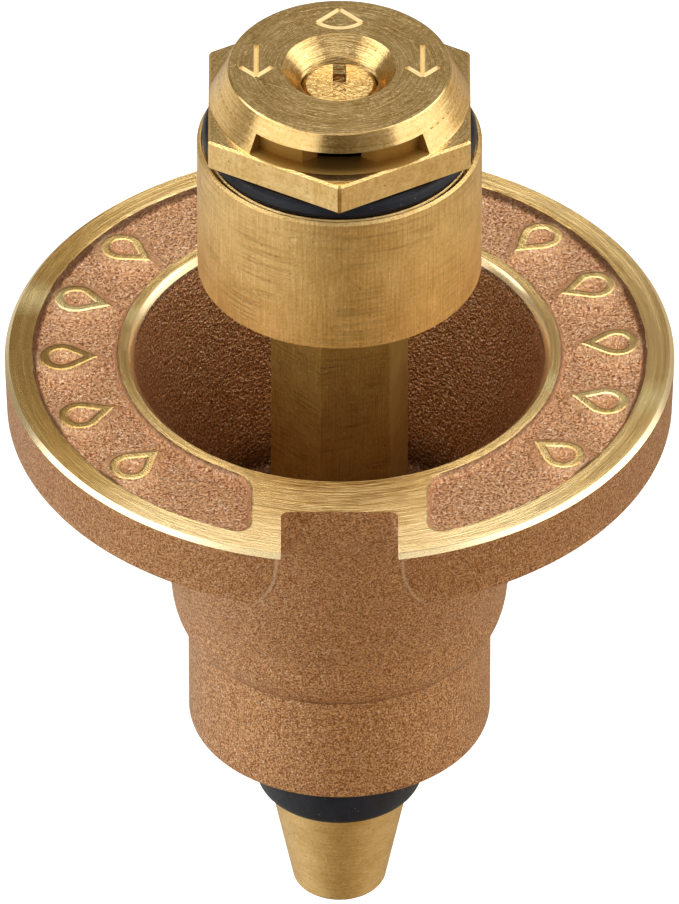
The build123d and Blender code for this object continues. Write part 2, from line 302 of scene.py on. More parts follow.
def pipe_thread(height):
    """A ring of the inlet's thread, cut outwards from the bore as one right-handed helix."""
    angle = np.arange(COLUMNS) / COLUMNS
    phase = (height / PIPE_PITCH - angle) % 1
    cut = np.clip(PIPE_THREAD_SLOPE * np.minimum(phase, 1 - phase) - PIPE_THREAD_CREST, 0, 1)
    lead_in = max(0, height - SOCKET_CHAMFER) / THREAD_LEAD_IN
    run_out = max(0, SOCKET_TOP - THREAD_END_GAP - height) / THREAD_RUN_OUT
    return ring(SOCKET_R + PIPE_THREAD_DEPTH * cut * min(1, lead_in, run_out), height, COLUMNS)


def body_rings():
    """The rings of the casting, from the hole's edge over the top, down the outside and up the inside."""
    top_rows = np.arange(HOLE_R + HOLE_CHAMFER, FLANGE_R - RIM_CHAMFER, ROW)
    rings = [flange_points(radius) for radius in top_rows]
    rings.append(ring(FLANGE_R - RIM_CHAMFER, FLANGE_TOP, FINE_COLUMNS))
    rings += [ring(r, z, FINE_COLUMNS) for r, z in rim_profile()]
    rings += [ring(r, z, COLUMNS) for r, z in bowl_profile() + boss_profile()]
    thread_heights = np.arange(SOCKET_CHAMFER, SOCKET_TOP, PIPE_PITCH / THREAD_ROWS)
    rings += [pipe_thread(z) for z in thread_heights]
    rings += [ring(r, z, COLUMNS) for r, z in inside_profile()]
    rings.append(ring(HOLE_R, FLANGE_TOP - HOLE_CHAMFER, FINE_COLUMNS))
    return rings


def rim_profile():
    """The flange's rim, from its chamfer down to the fillet at its foot."""
    foot = FLANGE_LOW + RIM_FILLET
    rim = line((FLANGE_R, FLANGE_TOP - RIM_CHAMFER), (FLANGE_FOOT_R, foot), count=12)
    return rim + arc((FLANGE_FOOT_R - RIM_FILLET, foot), RIM_FILLET, 0, -90, count=6)


def bowl_profile():
    """The cup's outside: a fillet under the flange, a tapered wall and a rounded shoulder."""
    lean = math.degrees(math.atan2(BOWL_TOP_R - BOWL_LOW_R, FLANGE_LOW - BOWL_LOW_Z))
    tangent = BOWL_FILLET * math.tan(math.radians(90 - lean) / 2)
    centre = (BOWL_TOP_R + tangent, FLANGE_LOW - BOWL_FILLET)
    points = arc(centre, BOWL_FILLET, 90, 180 - lean, count=12)
    points += line(points.pop(), (BOWL_LOW_R, BOWL_LOW_Z), count=12)
    turn = np.linspace(0, math.pi / 2, 9)[:-1]
    fall = BOWL_LOW_Z - CREASE_Z
    shrink = BOWL_LOW_R - BOSS_R
    points += [(BOWL_LOW_R - shrink * (1 - math.cos(t)), BOWL_LOW_Z - fall * math.sin(t)) for t in turn]
    return points


def boss_profile():
    """The boss's straight wall, its rounded lower edge and the flat round its mouth."""
    mouth = SOCKET_R + SOCKET_CHAMFER
    wall = line((BOSS_R, CREASE_Z), (BOSS_R, BOSS_EDGE_R), count=8)
    edge = arc((BOSS_R - BOSS_EDGE_R, BOSS_EDGE_R), BOSS_EDGE_R, 0, -90, count=4)
    return wall + edge + [(mouth + SOCKET_LAND, 0), (mouth, 0)]


def inside_profile():
    """From the socket's top through the guide's hole and up the cup's wall."""
    through = [(SOCKET_R, SOCKET_TOP), (GUIDE_R, SOCKET_TOP), (GUIDE_R, CUP_FLOOR)]
    corner = arc((CUP_FLOOR_R - CUP_FILLET, CUP_FLOOR + CUP_FILLET), CUP_FILLET, -90, 0, count=6)
    wall = line((CUP_LOW_R, CUP_LOW_Z), (HOLE_R, FLANGE_TOP - HOLE_CHAMFER), count=14)
    return through + corner + wall


def notch_flare(fall):
    """How far each of the notch's sides has opened, this far below the flange's top."""
    low = max(0, fall - NOTCH_STRAIGHT) / (FLANGE_THICK - NOTCH_STRAIGHT)
    return NOTCH_DRAFT * fall + NOTCH_SPREAD * low * low


def notch_outline(fall):
    """The cutter's outline this far below the flange's top, from one side of its mouth to the other."""
    half = NOTCH_W / 2 + notch_flare(fall)
    lean = FACE_LEAN * fall + FACE_CURVE * fall * fall
    face = NOTCH_FACE - lean
    bend = NOTCH_CORNER_R + CORNER_GROWTH * lean
    far = [(half + NOTCH_LIP_R, FLANGE_R + CUTTER_REACH)]
    mouth = (half + NOTCH_LIP_R, FLANGE_R - NOTCH_LIP_R + NOTCH_LIP_OUT)
    lip = arc(mouth, NOTCH_LIP_R, 90, 180, count=7)
    corner = arc((half - bend, face + bend), bend, 0, -90, count=7)
    flat = [(x, face) for x in np.linspace(half - bend, bend - half, 12)[1:-1]]
    other_half = [(-x, y) for x, y in (far + lip + corner)[::-1]]
    return far + lip + corner + flat + other_half


def notch_cutter(side, material):
    """The solid cut out of the rim at the front (-1) or the back (1), flaring as it goes down."""
    rings = []
    for height in np.linspace(CUTTER_ABOVE, -CUTTER_BELOW, CUTTER_ROWS):
        outline = notch_outline(max(0, -height))
        rings.append(np.array([(-side * x, side * y, FLANGE_TOP + height) for x, y in outline]))
    points, faces = stitched(rings, closed=False)
    count = len(rings[0])
    faces.append(list(range(count)))
    faces.append([len(points) - 1 - n for n in range(count)])
    return make_object("cutter", points, faces, material)


def cut(piece, cutter):
    """Take the cutter out of the piece, and delete the cutter."""
    modifier = piece.modifiers.new("cut", "BOOLEAN")
    modifier.object = cutter
    modifier.operation = "DIFFERENCE"
    modifier.solver = "EXACT"
    apply_modifiers(piece)
    bpy.data.objects.remove(cutter)


def apply_modifiers(piece):
    """Replace the piece's mesh by the one its modifiers make."""
    graph = bpy.context.evaluated_depsgraph_get()
    mesh = bpy.data.meshes.new_from_object(piece.evaluated_get(graph))
    piece.modifiers.clear()
    piece.data = mesh


def make_body(material):
    """The cast body in one mesh, with its two notches cut out."""
    points, faces = stitched(body_rings(), closed=True)
    body = make_object("cast_body", points, faces, material)
    for side in (-1, 1):
        cut(body, notch_cutter(side, material))
    body.data.set_sharp_from_angle(angle=CAST_SHARP_ANGLE)
    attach(body, "body")
    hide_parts("body_casting")


# ---------------------------------------------------------------- rubber

def rubber_profile(outer, inner, bottom, top, bulge):
    """A ring's outline: a rounded outside with a parting line, then the flat top, the bore and the bottom."""
    middle, half = (bottom + top) / 2, (top - bottom) / 2
    profile = []
    for angle in np.radians(np.linspace(-90, 90, 25)):
        out = abs(math.cos(angle)) ** bulge
        up = math.copysign(abs(math.sin(angle)) ** bulge, angle)
        parting = PARTING_HEIGHT * math.exp(-(half * up / PARTING_WIDTH) ** 2)
        profile.append((outer - PARTING_HEIGHT - (1 - out) * half + parting, middle + half * up))
    profile += line((profile[-1][0] - RUBBER_BEVEL, top), (inner, top), count=3)
    profile += line((inner, top), (inner, bottom), count=4)
    profile += line((inner, bottom), (profile[0][0] - RUBBER_BEVEL, bottom), count=3)
    return profile


def rubber_ring(name, node, body, slot, bulge):
    """A moulded rubber ring in its CAD node's place. A bulge of 1 is fully round, and less is squarer."""
    low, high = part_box(node)
    profile = rubber_profile(high[0] / MM, RUBBER_BORES[node], low[2] / MM, high[2] / MM, bulge)
    rings = [ring(r, z, RUBBER_COLUMNS) for r, z in profile]
    points, faces = stitched(rings[::-1], closed=True)
    piece = make_object(name, points, faces, rubber(slot))
    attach(piece, body)
    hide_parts(node)


# ---------------------------------------------------------------- material tools

# Nearly all of a noise lies between these values
NOISE_MIDDLE = (0.3, 0.7)


def srgb(red, green, blue):
    """A linear colour from 0 to 255 screen values."""
    parts = [c / 255 for c in (red, green, blue)]
    return tuple(c / 12.92 if c < 0.04045 else ((c + 0.055) / 1.055) ** 2.4 for c in parts)


def opaque(colour):
    """Give a plain three-part colour its alpha, and leave anything else alone."""
    return (*colour, 1) if isinstance(colour, tuple) and len(colour) == 3 else colour


class Surface:
    """A material's node tree, with short ways to add and join nodes."""

    def __init__(self, name):
        self.material = bpy.data.materials.new(name)
        self.material.use_nodes = True
        self.tree = self.material.node_tree
        self.tree.nodes.clear()
        self.output = self.tree.nodes.new("ShaderNodeOutputMaterial")
        self.place = self.add("ShaderNodeVectorMath", operation="SCALE")
        coordinates = self.tree.nodes.new("ShaderNodeTexCoord")
        self.put(coordinates.outputs["Object"], self.place.inputs[0])
        self.place.inputs["Scale"].default_value = 1 / MM
        self.spot = self.place.outputs[0]

    def measure(self):
        """Find x, y, the height, and the radius and angle about the Z axis, in millimetres and radians."""
        self.x, self.y, self.height = self.parts(self.spot)
        square = self.plus(self.times(self.x, self.x), self.times(self.y, self.y))
        self.radius = self.math("SQRT", square)
        self.angle = self.math("ARCTAN2", self.y, self.x)

    def put(self, value, socket):
        """Join an output to a socket, or set the socket to a plain value."""
        if isinstance(value, bpy.types.NodeSocket):
            self.tree.links.new(value, socket)
        else:
            socket.default_value = value

    def add(self, kind, **settings):
        node = self.tree.nodes.new(kind)
        for key, value in settings.items():
            setattr(node, key, value)
        return node

    def math(self, operation, first, second=0.0):
        node = self.add("ShaderNodeMath", operation=operation)
        self.put(first, node.inputs[0])
        self.put(second, node.inputs[1])
        return node.outputs[0]

    def chain(self, operation, values):
        """Apply a two-value operation along a row of values."""
        total = values[0]
        for value in values[1:]:
            total = self.math(operation, total, value)
        return total

    def times(self, *values):
        return self.chain("MULTIPLY", values)

    def plus(self, *values):
        return self.chain("ADD", values)

    def most(self, *values):
        return self.chain("MAXIMUM", values)

    def minus(self, first, second):
        return self.math("SUBTRACT", first, second)

    def apart(self, first, second):
        """How far two values are from each other."""
        return self.math("ABSOLUTE", self.minus(first, second))

    def over(self, value, limit):
        """1 where the value is over the limit, and 0 elsewhere."""
        return self.math("GREATER_THAN", value, limit)

    def under(self, value, limit):
        """1 where the value is under the limit, and 0 elsewhere."""
        return self.math("LESS_THAN", value, limit)

    def parts(self, vector):
        node = self.add("ShaderNodeSeparateXYZ")
        self.put(vector, node.inputs[0])
        return node.outputs[0], node.outputs[1], node.outputs[2]

    def vector(self, x=0.0, y=0.0, z=0.0):
        node = self.add("ShaderNodeCombineXYZ")
        for value, socket in zip((x, y, z), node.inputs):
            self.put(value, socket)
        return node.outputs[0]

    def noise(self, where, scale=1.0, detail=2.0, roughness=0.5, distortion=0.0):
        node = self.add("ShaderNodeTexNoise")
        self.put(where, node.inputs["Vector"])
        self.put(scale, node.inputs["Scale"])
        self.put(detail, node.inputs["Detail"])
        self.put(roughness, node.inputs["Roughness"])
        self.put(distortion, node.inputs["Distortion"])
        return node.outputs["Fac"]

    def span(self, value, low, high, to_low=0.0, to_high=1.0):
        """Rescale a value from one range to another, clamped."""
        node = self.add("ShaderNodeMapRange", clamp=True)
        for item, socket in zip((value, low, high, to_low, to_high), node.inputs):
            self.put(item, socket)
        return node.outputs[0]

    def blend(self, share, first, second):
        """A colour between two others."""
        node = self.add("ShaderNodeMix", data_type="RGBA")
        self.put(share, node.inputs["Factor"])
        self.put(opaque(first), node.inputs[6])
        self.put(opaque(second), node.inputs[7])
        return node.outputs[2]

    def tint(self, colour, other, mask, amount):
        """A colour with an amount of another mixed in where the mask is 1."""
        return self.blend(self.times(mask, amount), colour, other)

    def bump(self, height, strength, distance, under=None):
        node = self.add("ShaderNodeBump")
        self.put(height, node.inputs["Height"])
        self.put(strength, node.inputs["Strength"])
        self.put(distance * MM, node.inputs["Distance"])
        if under is not None:
            self.put(under, node.inputs["Normal"])
        return node.outputs[0]

    def finish(self, **sockets):
        """Add the shader with its sockets set or joined, and return the material."""
        shader = self.add("ShaderNodeBsdfPrincipled")
        for name, value in sockets.items():
            self.put(opaque(value), shader.inputs[name.replace("_", " ")])
        self.put(shader.outputs[0], self.output.inputs["Surface"])
        return self.material


# ---------------------------------------------------------------- cast bronze

CAST_LOW = srgb(150, 98, 56)
CAST_HIGH = srgb(236, 184, 132)
# A painted highlight, for glints on grains, spangles, sparkles and the notches' edges
PAINTED_GLINT = srgb(255, 232, 208)
POCKET_LOW = srgb(142, 88, 52)
POCKET_HIGH = srgb(242, 194, 148)
# A dark brown: painted shade in the crease and along the pockets' walls, and the darkening towards the cup's
# floor
DARK_BROWN = srgb(60, 34, 18)
# A painted highlight on the lands' chamfers and front
LAND_HIGHLIGHT = srgb(255, 238, 194)
BRASS_LOW = srgb(208, 170, 100)
BRASS_HIGH = srgb(244, 214, 152)
# Painted shade on the left of the lands
BRASS_PAINTED_SHADE = srgb(160, 120, 48)
# Painted highlight in two sectors of the lands
SECTOR_HIGHLIGHT = srgb(255, 234, 170)
CAST_ROUGHNESS = (0.5, 0.32)
LAND_ROUGHNESS = (0.2, 0.28)

# Grains to the millimetre
SAND_SCALE = 7.0
COARSE_SCALE = 0.4 * SAND_SCALE
FACET_SCALE = 0.55 * SAND_SCALE
PEBBLE_SCALE = 0.62 * SAND_SCALE
GLINT_SCALE = 0.8 * SAND_SCALE
WOBBLE_SCALE = 2.2

# The machined lands' fine lines and broad bands, as how many to the millimetre and to the radian, and the
# height in the noise at which the bands are taken
TURNED_LINES = 12.0
LINES_ROUND = 1.5
TURNED_BANDS = 2.5
BANDS_ROUND = 0.8
BANDS_LAYER = 3.0

# Heights of the bumps, in millimetres
CAST_BUMP = 0.13
LINE_BUMP = 0.05

# How much of each noise the relief takes, and how much painted shade lies along the pockets' walls
SAND_RELIEF = 0.75
COARSE_RELIEF = 0.25
POCKET_RELIEF = 1.5
CUP_RELIEF = 1.6
OUTER_WALL_PAINTED_SHADE = 0.75
INNER_WALL_PAINTED_SHADE = 0.5

# The noise values between which each pattern goes from off to on
SAND_EDGE = (0.42, 0.58)
SAND_SHINE_EDGE = (0.4, 0.6)
GLINT_EDGE = (0.63, 0.67)
PEBBLE_EDGE = (0.38, 0.6)
SPANGLE_EDGE = (0.6, 0.65)
SPARKLE_EDGE = (0.66, 0.69)

# Depths below the flange's top between which a shade goes from off to on, in millimetres. The skirts' shade
# is painted light.
SKIRT_FOOT = (0.62, 0.45)
SKIRT_HEAD = (0.05, 0.16)
TOP_SKIN = (0.06, 0.03)
RIM_SHADE = (FLANGE_THICK, 5.0)

# Distances from an edge between which its shade goes from off to on, in millimetres. The walls' and the
# crease's shades are painted shade, and the arris's is a painted highlight
OUTER_WALL_SHADE = (0.6, 0.3)
INNER_WALL_SHADE = (0.28, 0.12)
ARRIS_HIGHLIGHT = (0.22, 0.06)
CREASE_SHADE = (0.5, 0.1)
CREASE_SHADE_Z = CREASE_Z + 0.1
CUP_DARKENING = (CUP_LOW_Z + 2.0, CUP_FLOOR + 0.3)

# Where the painted light and painted shade of the machined lands start and end, with the painted highlights
# on the chamfers and in two sectors, in millimetres and radians
FRONT_PAINTED_LIGHT = (-19.0, -28.0)
LEFT_PAINTED_SHADE = (-17.0, -24.0)
SIDE_GLOW = (9.0, 16.0)
SIDE_GLOW_AMOUNTS = (0.2, 0.9)
SECTOR_HIGHLIGHT_ANGLES = (2.87, -0.24)
SECTOR_HIGHLIGHT_HALF_WIDTHS = (0.1, 0.02)

# The chamfers: how far their inner edge wavers, in millimetres, and how much smoother than the lands they are
CHAMFER_WOBBLE = 0.12
CHAMFER_EVENNESS = 0.85

# How far a mask reaches past the surface that it covers, in millimetres
RIM_REACH = 1.6
WIDE_REACH = 1.0
REACH = 0.5
SHORT_REACH = 0.3
TOUCH = 0.05
HAIR = 0.02


def cast_bronze():
    """Sand-cast bronze, with the flange's lands, marks and edges machined to bright metal."""
    s = Surface("cast_bronze")
    s.measure()
    across = s.math("ABSOLUTE", s.x)
    fall = s.minus(FLANGE_TOP, s.height)
    sand = s.noise(s.spot, SAND_SCALE, roughness=0.6)
    cast_colour, relief = sand_skin(s, sand)
    cast_colour, relief = pocket_skin(s, across, fall, cast_colour, relief)
    cast_colour, relief = cup_skin(s, cast_colour, relief)
    cast_colour = rim_shades(s, across, fall, cast_colour)
    cast_colour = crease_shade(s, cast_colour)

    machined, chamfer = machined_masks(s, fall)
    cast = s.minus(1.0, machined)
    stain = land_stain(s)
    machined_colour = land_colour(s, stain)
    # Painted highlight on the chamfers, stronger towards the sides
    to_side = s.span(across, *SIDE_GLOW, *SIDE_GLOW_AMOUNTS)
    machined_colour = s.tint(machined_colour, LAND_HIGHLIGHT, chamfer, amount=to_side)

    rough_cast = s.times(cast, s.span(sand, *SAND_SHINE_EDGE, *CAST_ROUGHNESS))
    rough_machined = s.times(machined, s.span(stain, *NOISE_MIDDLE, *LAND_ROUGHNESS))
    lines = s.vector(s.times(s.radius, TURNED_LINES), s.times(s.angle, LINES_ROUND))
    turned = s.noise(lines, detail=3.0, roughness=0.6)
    under = s.bump(relief, strength=cast, distance=CAST_BUMP)
    line_strength = s.minus(machined, s.times(chamfer, CHAMFER_EVENNESS))
    return s.finish(Base_Color=s.blend(machined, cast_colour, machined_colour), Metallic=0.95,
                    Normal=s.bump(turned, line_strength, distance=LINE_BUMP, under=under),
                    Roughness=s.plus(rough_cast, rough_machined))


def sand_skin(s, sand):
    """The plain cast skin's colour and relief, with a painted glint highlight on some of its grains."""
    coarse = s.noise(s.spot, COARSE_SCALE)
    relief = s.plus(s.times(sand, SAND_RELIEF), s.times(coarse, COARSE_RELIEF))
    colour = s.blend(s.span(relief, *SAND_EDGE), CAST_LOW, CAST_HIGH)
    # Painted glint highlights on some grains
    glint = s.span(s.noise(s.spot, GLINT_SCALE, detail=1.0), *GLINT_EDGE)
    return s.tint(colour, PAINTED_GLINT, glint, amount=0.7), relief


def pocket_skin(s, across, fall, cast_colour, relief):
    """Add the flange's pockets: pebbled, with painted glint highlights, painted light up the marks' skirts
    and painted shade along the walls.
    """
    in_pocket = s.times(s.under(fall, POCKET_DEPTH + SHORT_REACH), s.under(s.radius, OUTER_LAND_R + REACH),
                        s.over(across, POCKET_END_X - WIDE_REACH))
    pebbled = s.noise(s.spot, PEBBLE_SCALE, roughness=0.6, distortion=0.7)
    colour = s.blend(s.span(pebbled, *PEBBLE_EDGE), POCKET_LOW, POCKET_HIGH)
    # Painted light up the marks' skirts
    skirt = s.times(s.span(fall, *SKIRT_FOOT), s.span(fall, *SKIRT_HEAD))
    colour = s.tint(colour, POCKET_HIGH, skirt, amount=0.35)
    # Painted glint highlights in the pockets
    spangle = s.span(s.noise(s.spot, GLINT_SCALE), *SPANGLE_EDGE)
    colour = s.blend(spangle, colour, PAINTED_GLINT)
    # Painted shade along the pockets' outer and inner walls
    outer_wall = s.span(s.minus(OUTER_LAND_R, s.radius), *OUTER_WALL_SHADE)
    inner_wall = s.span(s.minus(s.radius, INNER_LAND_R), *INNER_WALL_SHADE)
    shade = s.plus(s.times(outer_wall, OUTER_WALL_PAINTED_SHADE), s.times(inner_wall, INNER_WALL_PAINTED_SHADE))
    colour = s.blend(shade, colour, DARK_BROWN)
    relief = s.plus(relief, s.times(in_pocket, pebbled, POCKET_RELIEF))
    return s.blend(in_pocket, cast_colour, colour), relief


def cup_skin(s, cast_colour, relief):
    """Add the cup's inside: rough facets with painted sparkle highlights, and darker towards its floor."""
    wall = s.span(s.height, CUP_LOW_Z, FLANGE_TOP, CUP_LOW_R + SHORT_REACH, HOLE_R + REACH)
    in_cup = s.times(s.under(s.radius, wall), s.over(s.height, CUP_FLOOR - REACH))
    facets = s.noise(s.spot, FACET_SCALE, detail=1.0)
    # Painted sparkle highlights on some facets
    sparkle = s.times(s.span(facets, *SPARKLE_EDGE), in_cup)
    colour = s.blend(sparkle, cast_colour, PAINTED_GLINT)
    # Darker towards the cup's floor
    darker_down = s.times(in_cup, s.span(s.height, *CUP_DARKENING))
    colour = s.tint(colour, DARK_BROWN, darker_down, amount=0.8)
    return colour, s.plus(relief, s.times(in_cup, facets, CUP_RELIEF))


def rim_shades(s, across, fall, cast_colour):
    """Darken the cast rim a little, and paint a highlight along the edges of its notches."""
    low = s.span(fall, NOTCH_STRAIGHT, FLANGE_THICK)
    flare = s.plus(s.times(low, low, NOTCH_SPREAD), s.times(fall, NOTCH_DRAFT))
    edge = s.plus(flare, NOTCH_W / 2 + NOTCH_LIP_R / 2)
    near_rim = s.over(s.radius, FLANGE_R - RIM_REACH)
    on_rim = s.times(near_rim, s.span(fall, *RIM_SHADE))
    # A painted highlight along each edge of the notches
    arris = s.times(near_rim, s.span(s.apart(across, edge), *ARRIS_HIGHLIGHT))
    colour = s.tint(cast_colour, CAST_LOW, on_rim, amount=0.28)
    return s.tint(colour, PAINTED_GLINT, arris, amount=0.35)


def crease_shade(s, cast_colour):
    """Painted shade in the crease where the shoulder meets the boss."""
    near_crease = s.span(s.apart(s.height, CREASE_SHADE_Z), *CREASE_SHADE)
    crease = s.times(near_crease, s.over(s.radius, BOSS_R - REACH))
    return s.tint(cast_colour, DARK_BROWN, crease, amount=0.55)


def land_stain(s):
    """Broad uneven bands round the machined lands."""
    bands = s.vector(s.times(s.radius, TURNED_BANDS), s.times(s.angle, BANDS_ROUND), BANDS_LAYER)
    return s.noise(bands, detail=4.0, roughness=0.7)


def land_colour(s, stain):
    """The machined lands: painted light towards the front, painted shade to the left, and painted highlights
    in two sectors.
    """
    colour = s.blend(s.span(stain, *NOISE_MIDDLE), BRASS_LOW, BRASS_HIGH)
    # Painted light towards the front
    colour = s.tint(colour, LAND_HIGHLIGHT, s.span(s.y, *FRONT_PAINTED_LIGHT), amount=0.5)
    # Painted shade to the left
    colour = s.tint(colour, BRASS_PAINTED_SHADE, s.span(s.x, *LEFT_PAINTED_SHADE), amount=0.6)
    # Painted highlights in two narrow sectors
    for middle in SECTOR_HIGHLIGHT_ANGLES:
        patch = s.span(s.apart(s.angle, middle), *SECTOR_HIGHLIGHT_HALF_WIDTHS)
        colour = s.tint(colour, SECTOR_HIGHLIGHT, patch, amount=0.8)
    return colour


def machined_masks(s, fall):
    """Two masks: everything that is machined, and the chamfers alone. The rim's chamfer wavers a little."""
    wobble = s.times(s.minus(s.noise(s.spot, WOBBLE_SCALE), 0.5), CHAMFER_WOBBLE)
    on_top = s.span(fall, *TOP_SKIN)
    above_rim = s.under(s.minus(fall, wobble), RIM_CHAMFER + HAIR)
    outside = s.over(s.radius, FLANGE_R - RIM_CHAMFER - TOUCH)
    above_hole = s.under(fall, HOLE_CHAMFER + HAIR)
    inside = s.under(s.radius, HOLE_R + HOLE_CHAMFER + TOUCH)
    edges = s.most(s.times(above_rim, outside), s.times(above_hole, inside))
    return s.most(on_top, edges), s.times(edges, s.minus(1.0, on_top))


# ---------------------------------------------------------------- machined brass

BRASS_SCRATCH = srgb(252, 232, 180)
BRASS_PIT = srgb(110, 76, 34)
# A painted highlight on the nozzle's engraved marks
BRASS_MARK_HIGHLIGHT = srgb(250, 226, 172)
SLOT_BRASS = srgb(176, 140, 74)
STEM_LOW = srgb(190, 160, 84)
STEM_HIGH = srgb(222, 196, 120)
SCREW_LOW = srgb(190, 152, 84)
SCREW_HIGH = srgb(236, 204, 140)

# Stains and wear, as how many there are to the millimetre
STAIN_SCALE = 0.45
MOTTLE_SCALE = 3.5
PIT_SCALE = 2.4
PATCH_SCALE = 0.18
DENT_SCALE = 1.9

# Tool marks, as how many there are to the millimetre or the radian
TURNED_PER_MM = 7.0
FACED_PER_MM = 9.0
ROUND_PER_RADIAN = 2.0
DRAWN_PER_MM = 0.2
DRAWN_PER_RADIAN = 60.0
CHATTER_PER_MM = 2.4
CHATTER_PER_RADIAN = 1.6
SCRATCH_PER_MM = 5.0
SCRATCH_LENGTH_PER_MM = 0.35
SCRATCH_TURNS = (35, 100, 155)

# The noise values between which each pattern goes from off to on
BRASS_EDGE = (0.38, 0.62)
SCRATCH_EDGE = (0.74, 0.78)
PIT_EDGE = (0.31, 0.27)
CHATTER_EDGE = (0.46, 0.66)
CHATTER_PATCH_EDGE = (0.42, 0.6)

# How much of each noise the colour takes
MARKS_SHARE = 0.4
STAIN_SHARE = 0.25
MOTTLE_SHARE = 0.35

# How the roughness varies, and how much duller the marks and the slot are
SHINE_CHANGE = (-0.04, 0.04)
MARKED_DULLNESS = 0.35

# How deep the wear is, how much of it a faced piece shows, and the heights of the bumps in millimetres
WORN_RELIEF = 0.5
CHATTER_RELIEF = 0.6
FACED_WEAR = 0.4
BRASS_BUMP = 0.03
DENT_BUMP = 0.3

# Nozzle head, in millimetres: its cone, the slot's floor and ceiling, and where its marks are engraved
NOZZLE_TOP = cad_box[1][2] / MM
DECK = 69.4
CEILING = 71.12
CONE_LOW_R = 11.6
CONE_TOP_R = 9.96
CONE_SKIN = 0.04
SLOT_FROM_R = 6.5
MARKS_FROM_R = 5.15
MARKS_TO_R = 9.8
MARKS_DEEPEST = 0.4


def machined_brass(name, lines, roughness, strength, low=BRASS_LOW, high=BRASS_HIGH, dents=0.0):
    """Bright brass. lines is the name of the tool marks' direction: turned, drawn or faced."""
    s = Surface(name)
    s.measure()
    marks = s.noise(tool_lines(s, lines), detail=3.0, roughness=0.6)
    stain = s.noise(s.spot, STAIN_SCALE, detail=4.0, roughness=0.6)
    mottle = s.noise(s.spot, MOTTLE_SCALE, detail=3.0, roughness=0.65)
    mix = s.plus(s.times(marks, MARKS_SHARE), s.times(stain, STAIN_SHARE), s.times(mottle, MOTTLE_SHARE))
    colour = s.blend(s.span(mix, *BRASS_EDGE), low, high)
    worn = scratches(s)
    colour = s.tint(colour, BRASS_SCRATCH, worn, amount=0.4)
    pits = s.span(s.noise(s.spot, PIT_SCALE, roughness=0.6), *PIT_EDGE)
    colour = s.tint(colour, BRASS_PIT, pits, amount=0.55)
    relief = s.minus(mottle, s.times(s.plus(worn, pits), WORN_RELIEF))
    wear, dull = 1.0, 0.0
    if lines == "drawn":
        colour, relief = chatter_marks(s, colour, relief)
    if lines == "faced":
        wear = FACED_WEAR
        colour, dull = nozzle_marks(s, colour)
    shine = s.plus(s.span(marks, *NOISE_MIDDLE, *SHINE_CHANGE), s.span(mottle, *NOISE_MIDDLE, *SHINE_CHANGE))
    bump = s.bump(relief, strength * wear, distance=BRASS_BUMP)
    bump = s.bump(marks, strength, distance=BRASS_BUMP, under=bump)
    if dents:
        bump = s.bump(s.noise(s.spot, DENT_SCALE, roughness=0.6), dents, distance=DENT_BUMP, under=bump)
    return s.finish(Base_Color=colour, Metallic=1.0, Roughness=s.plus(shine, roughness, dull), Normal=bump)


def tool_lines(s, lines):
    """Coordinates that draw a noise out along the tool's marks."""
    if lines == "faced":
        return s.vector(s.times(s.radius, FACED_PER_MM), s.times(s.angle, ROUND_PER_RADIAN), s.height)
    if lines == "drawn":
        return s.vector(s.times(s.height, DRAWN_PER_MM), s.times(s.angle, DRAWN_PER_RADIAN))
    return s.vector(s.times(s.height, TURNED_PER_MM), s.times(s.angle, ROUND_PER_RADIAN))


def scratches(s):
    """Sparse fine scratches in three directions, 1 on a scratch and 0 off it."""
    layers = []
    for turn in SCRATCH_TURNS:
        cos_t, sin_t = math.cos(math.radians(turn)), math.sin(math.radians(turn))
        along = s.plus(s.times(s.x, cos_t), s.times(s.y, sin_t))
        across = s.minus(s.times(s.y, cos_t), s.times(s.x, sin_t))
        where = s.vector(s.times(along, SCRATCH_LENGTH_PER_MM), s.times(across, SCRATCH_PER_MM), s.height)
        layers.append(s.span(s.noise(where, detail=1.0), *SCRATCH_EDGE))
    return s.most(*layers)


def chatter_marks(s, colour, relief):
    """Add shallow cross grooves in patches, as a tool leaves them."""
    where = s.vector(s.times(s.height, CHATTER_PER_MM), s.times(s.angle, CHATTER_PER_RADIAN))
    chatter = s.noise(where, detail=3.0, roughness=0.6)
    patch = s.span(s.noise(s.spot, PATCH_SCALE, detail=1.0), *CHATTER_PATCH_EDGE)
    groove = s.times(s.span(chatter, *CHATTER_EDGE), patch)
    colour = s.tint(colour, BRASS_PIT, groove, amount=0.3)
    return colour, s.minus(relief, s.times(groove, CHATTER_RELIEF))


def nozzle_marks(s, colour):
    """Paint a highlight on the engraved marks and darken the spray slot. Returns the colour and the extra
    dullness.
    """
    cut_deep = s.times(s.under(s.height, NOZZLE_TOP - HAIR), s.over(s.height, NOZZLE_TOP - MARKS_DEEPEST))
    on_face = s.times(s.over(s.radius, MARKS_FROM_R), s.under(s.radius, MARKS_TO_R))
    engraved = s.times(cut_deep, on_face)
    # Painted highlight on the engraved marks
    colour = s.blend(engraved, colour, BRASS_MARK_HIGHLIGHT)
    cone = s.span(s.height, DECK, NOZZLE_TOP, CONE_LOW_R - CONE_SKIN, CONE_TOP_R - CONE_SKIN)
    in_slot = s.times(s.under(s.height, CEILING + TOUCH), s.under(s.radius, cone),
                      s.over(s.height, DECK - TOUCH), s.over(s.radius, SLOT_FROM_R))
    colour = s.blend(in_slot, colour, SLOT_BRASS)
    return colour, s.times(s.plus(engraved, in_slot), MARKED_DULLNESS)


def dress(node, material):
    """Give a carried-over CAD node its finish."""
    mesh = nodes[node].data
    mesh.materials.clear()
    mesh.materials.append(material)


# ---------------------------------------------------------------- rubber's material

